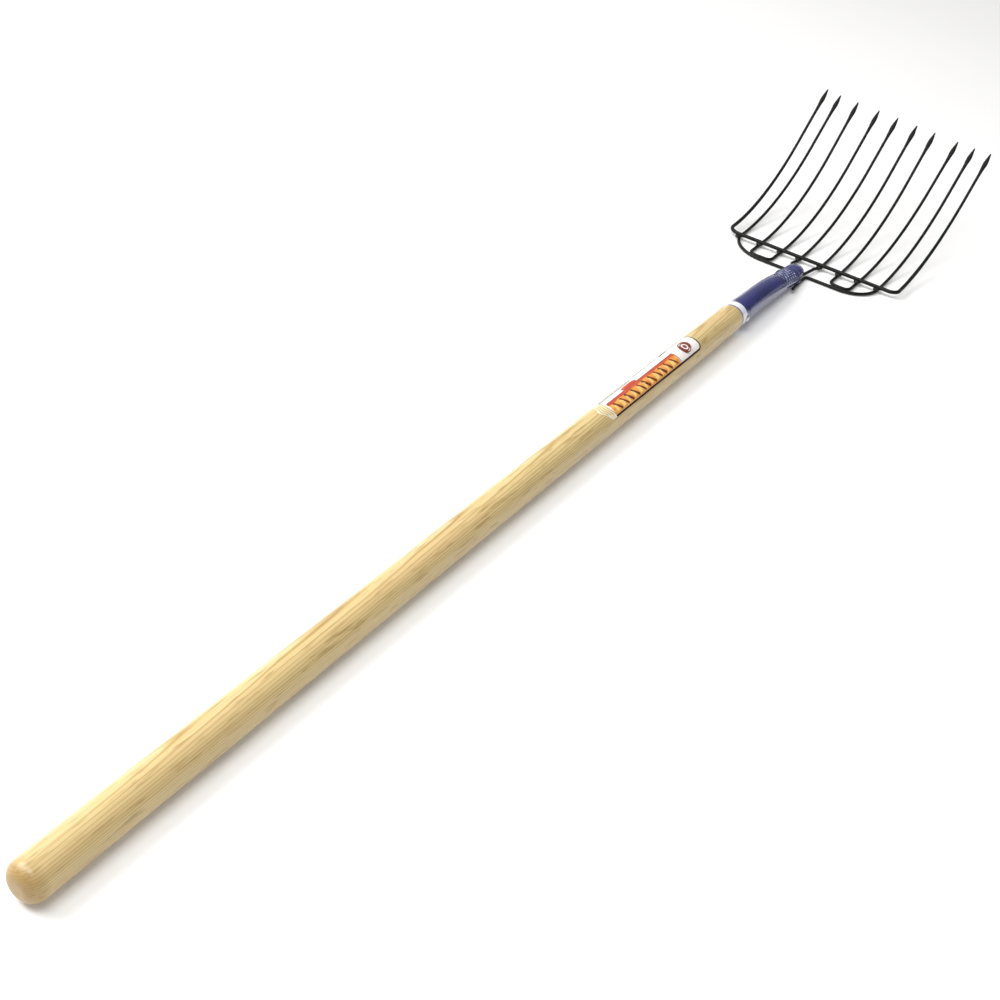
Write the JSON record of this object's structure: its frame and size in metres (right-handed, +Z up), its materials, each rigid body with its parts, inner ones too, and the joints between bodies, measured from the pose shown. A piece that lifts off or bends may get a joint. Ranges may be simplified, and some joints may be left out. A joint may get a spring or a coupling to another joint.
{
  "type": "hay fork",
  "caption": "Long-handled hay and bedding fork: turned wooden handle, bent blue steel ferrule, and a broad head of curved steel tines with flattened points, welded to a crossbar.",
  "frame": {"origin": "centre of the bounding box's underside, on the floor the fork lies on", "axes": "+X along the handle from the butt to the tines' points, +Y to the left of someone looking that way, +Z up with the points raised"},
  "size_m": [1.7324, 0.279, 0.1485],
  "materials": {
    "ash_wood": "clear lacquer over fine straight grain",
    "blue_enamel": "glossy blue enamel",
    "bright_steel": "bright zinc plate",
    "label_film": "printed film with a thin dark border and an orange band, no text",
    "black_steel": "semi-gloss black over drawn steel rod",
    "weld_steel": "black over rippled weld beads"
  },
  "bodies": {
    "root": {"handle": "ash_wood", "ferrule": "blue_enamel", "ferrule_rivet": "bright_steel", "label": "label_film", "outer_rod": "black_steel", "rear_bow_left": "black_steel", "rear_bow_right": "black_steel", "inner_rod_left": "black_steel", "inner_rod_right": "black_steel", "centre_tine_left": "black_steel", "centre_tine_right": "black_steel", "crossbar_weld_2": "weld_steel", "crossbar_weld_3": "weld_steel", "crossbar_weld_4": "weld_steel", "crossbar_weld_5": "weld_steel", "crossbar_weld_6": "weld_steel", "crossbar_weld_7": "weld_steel", "crossbar_weld_8": "weld_steel", "crossbar_weld_9": "weld_steel", "rear_bar_weld_left": "weld_steel", "rear_bar_weld_right": "weld_steel", "tang_weld_left": "blue_enamel", "tang_weld_right": "blue_enamel"}
  },
  "joints": []
}
